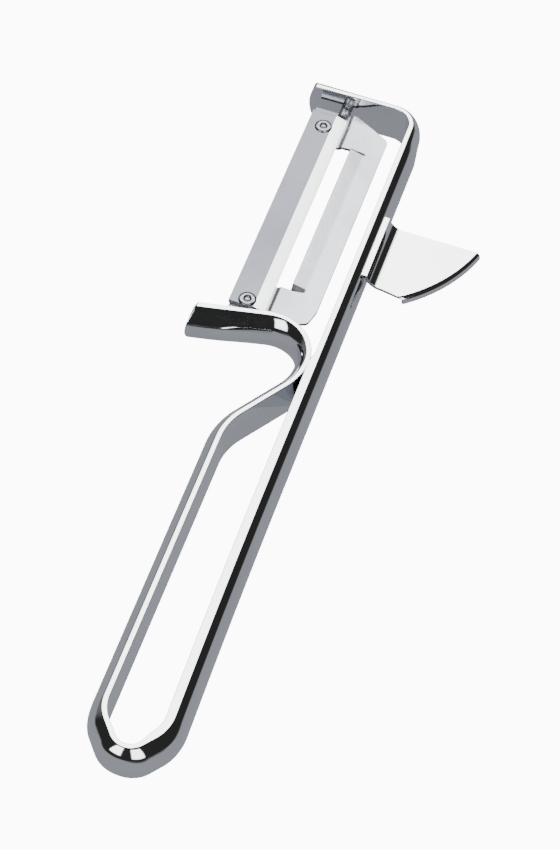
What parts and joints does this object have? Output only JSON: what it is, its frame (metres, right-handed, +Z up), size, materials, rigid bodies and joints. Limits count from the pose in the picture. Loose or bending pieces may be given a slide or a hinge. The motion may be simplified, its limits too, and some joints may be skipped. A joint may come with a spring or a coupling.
{
  "type": "side blade vegetable peeler",
  "caption": "Side-blade vegetable peeler: a bent chromed bar forms a looped handle and two arms, a slotted blade swivels between them, and a fan-shaped eye gouge stands on the spine.",
  "frame": {"origin": "centre of the whole tool's footprint, on the plane of the bar's lower lands", "axes": "+Y along the handle towards the head, +X from the arms towards the spine and the eye gouge, +Z up out of the flat of the tool"},
  "size_m": [0.0524, 0.1804, 0.0095],
  "materials": {
    "chromed_bar": "bright chrome plate, polished",
    "chromed_sheet": "bright chrome plate, polished",
    "pin_steel": "turned steel, dull",
    "holder_steel": "bright rolled stainless sheet",
    "strip_steel": "satin ground, with a bright ground bevel",
    "rivet_steel": "rolled over, satin"
  },
  "bodies": {
    "frame": {"frame": "chromed_bar", "eye_gouge": "chromed_sheet"},
    "blade": {"blade_holder": "holder_steel", "cutting_blade": "strip_steel", "strip_rivets": "rivet_steel", "upper_pivot_pin": "pin_steel", "lower_pivot_pin": "pin_steel"}
  },
  "joints": [
    {"name": "blade_swivel", "type": "hinge", "parent": "frame", "child": "blade", "pos_m": [-0.0133, 0, 0.00475], "axis": [0, 1, 0], "continuous": true}
  ]
}
